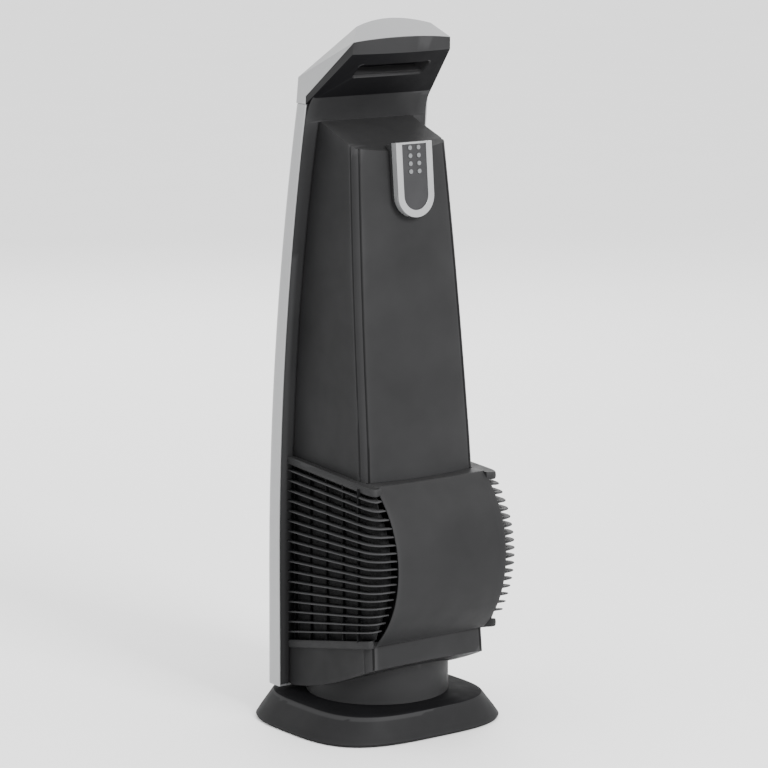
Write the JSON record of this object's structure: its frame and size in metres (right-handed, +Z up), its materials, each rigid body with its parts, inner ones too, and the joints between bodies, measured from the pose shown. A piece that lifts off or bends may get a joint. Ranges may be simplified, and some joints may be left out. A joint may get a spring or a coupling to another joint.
{
  "type": "tower air cleaner",
  "caption": "Tall tower air cleaner with a side-intake blower drum, hooked carry hood, docked remote control and a low swivelling base.",
  "frame": {"origin": "centre of the base's footprint on the floor, on the swivel axis", "axes": "+Z up, -Y towards the outlet at the front, +X towards the tower's own left side"},
  "size_m": [0.284, 0.2903, 0.895],
  "materials": {
    "charcoal_shell": "fine moulded texture, satin",
    "black_trim": "moulded louvres, satin",
    "silver_paint": "silver paint on plastic, satin metallic",
    "gloss_black": "polished",
    "window": "smoked clear window",
    "button_silver": "silver paint",
    "key_grey": "soft rubber-like keys",
    "inner_plastic": "plain moulded",
    "rubber": "matte",
    "steel": "zinc plated",
    "motor_steel": "sheet steel",
    "gear_plastic": "acetal, smooth",
    "circuit_board": "green board",
    "filter_fabric": "pleated non-woven"
  },
  "bodies": {
    "base": {"base_shell": "charcoal_shell", "base_bottom_cover": "inner_plastic", "rubber_foot_ring": "rubber", "cord_gland": "rubber", "pivot_post": "steel", "fixed_gear": "gear_plastic", "thrust_washer": "steel", "pivot_nut": "steel", "base_screws": "steel"},
    "tower": {"swivel_hub": "charcoal_shell", "oscillation_motor": "motor_steel", "hub_screws": "steel", "rear_housing": "charcoal_shell", "front_bezel": "silver_paint", "front_grille": "black_trim", "air_duct": "inner_plastic", "hood_cap": "silver_paint", "hood_liner": "charcoal_shell", "control_panel": "gloss_black", "display_window": "window", "control_board": "circuit_board", "blower_cover": "charcoal_shell", "left_intake_grille": "black_trim", "right_intake_grille": "black_trim", "left_filter_frame": "inner_plastic", "right_filter_frame": "inner_plastic", "left_filter_media": "filter_fabric", "right_filter_media": "filter_fabric", "scroll_housing": "inner_plastic", "left_inlet_ring": "inner_plastic", "right_inlet_ring": "inner_plastic", "motor_body": "motor_steel", "motor_bearings": "steel", "motor_bracket": "steel", "bracket_screws": "steel", "capacitor": "motor_steel", "power_board": "circuit_board", "remote_dock": "charcoal_shell"},
    "pinion": {"oscillation_pinion": "gear_plastic"},
    "rotor": {"motor_shaft": "steel", "impeller": "inner_plastic"},
    "button_1": {"panel_button_1": "button_silver"},
    "button_2": {"panel_button_2": "button_silver"},
    "button_3": {"panel_button_3": "button_silver"},
    "button_4": {"panel_button_4": "button_silver"},
    "button_5": {"panel_button_5": "button_silver"},
    "remote": {"remote_body": "silver_paint", "remote_face": "gloss_black", "remote_board": "circuit_board", "remote_battery": "steel"},
    "key_1": {"remote_key_1": "key_grey"},
    "key_2": {"remote_key_2": "key_grey"},
    "key_3": {"remote_key_3": "key_grey"},
    "key_4": {"remote_key_4": "key_grey"},
    "key_5": {"remote_key_5": "key_grey"},
    "key_6": {"remote_key_6": "key_grey"},
    "key_7": {"remote_key_7": "key_grey"},
    "key_8": {"remote_key_8": "key_grey"}
  },
  "joints": [
    {"name": "swivel", "type": "hinge", "parent": "base", "child": "tower", "pos_m": [0, 0, 0.04], "axis": [0, 0, 1], "range_deg": [-45, 45]},
    {"name": "pinion_turn", "type": "hinge", "parent": "tower", "child": "pinion", "pos_m": [0, 0.054, 0.013], "axis": [0, 0, 1], "range_deg": [-158, 158]},
    {"name": "rotor_spin", "type": "hinge", "parent": "tower", "child": "rotor", "pos_m": [0, 0.015, 0.217], "axis": [1, 0, 0], "continuous": true},
    {"name": "button_1_press", "type": "slide", "parent": "tower", "child": "button_1", "axis": [0, 0.6884, -0.7254], "range_m": [0, 0.0012], "stiffness_N_per_m": 600},
    {"name": "button_2_press", "type": "slide", "parent": "tower", "child": "button_2", "axis": [0, 0.6884, -0.7254], "range_m": [0, 0.0012], "stiffness_N_per_m": 600},
    {"name": "button_3_press", "type": "slide", "parent": "tower", "child": "button_3", "axis": [0, 0.6884, -0.7254], "range_m": [0, 0.0012], "stiffness_N_per_m": 600},
    {"name": "button_4_press", "type": "slide", "parent": "tower", "child": "button_4", "axis": [0, 0.6884, -0.7254], "range_m": [0, 0.0012], "stiffness_N_per_m": 600},
    {"name": "button_5_press", "type": "slide", "parent": "tower", "child": "button_5", "axis": [0, 0.6884, -0.7254], "range_m": [0, 0.0012], "stiffness_N_per_m": 600},
    {"name": "remote_lift", "type": "slide", "parent": "tower", "child": "remote", "axis": [0, -0.0837, 0.9965], "range_m": [0, 0.09]},
    {"name": "key_1_press", "type": "slide", "parent": "remote", "child": "key_1", "axis": [0, -0.9965, -0.0837], "range_m": [0, 0.0005], "stiffness_N_per_m": 500},
    {"name": "key_2_press", "type": "slide", "parent": "remote", "child": "key_2", "axis": [0, -0.9965, -0.0837], "range_m": [0, 0.0005], "stiffness_N_per_m": 500},
    {"name": "key_3_press", "type": "slide", "parent": "remote", "child": "key_3", "axis": [0, -0.9965, -0.0837], "range_m": [0, 0.0005], "stiffness_N_per_m": 500},
    {"name": "key_4_press", "type": "slide", "parent": "remote", "child": "key_4", "axis": [0, -0.9965, -0.0837], "range_m": [0, 0.0005], "stiffness_N_per_m": 500},
    {"name": "key_5_press", "type": "slide", "parent": "remote", "child": "key_5", "axis": [0, -0.9965, -0.0837], "range_m": [0, 0.0005], "stiffness_N_per_m": 500},
    {"name": "key_6_press", "type": "slide", "parent": "remote", "child": "key_6", "axis": [0, -0.9965, -0.0837], "range_m": [0, 0.0005], "stiffness_N_per_m": 500},
    {"name": "key_7_press", "type": "slide", "parent": "remote", "child": "key_7", "axis": [0, -0.9965, -0.0837], "range_m": [0, 0.0005], "stiffness_N_per_m": 500},
    {"name": "key_8_press", "type": "slide", "parent": "remote", "child": "key_8", "axis": [0, -0.9965, -0.0837], "range_m": [0, 0.0005], "stiffness_N_per_m": 500}
  ],
  "couplings": [
    {"joint": "pinion_turn", "follows": "swivel", "ratio": 3.5}
  ]
}
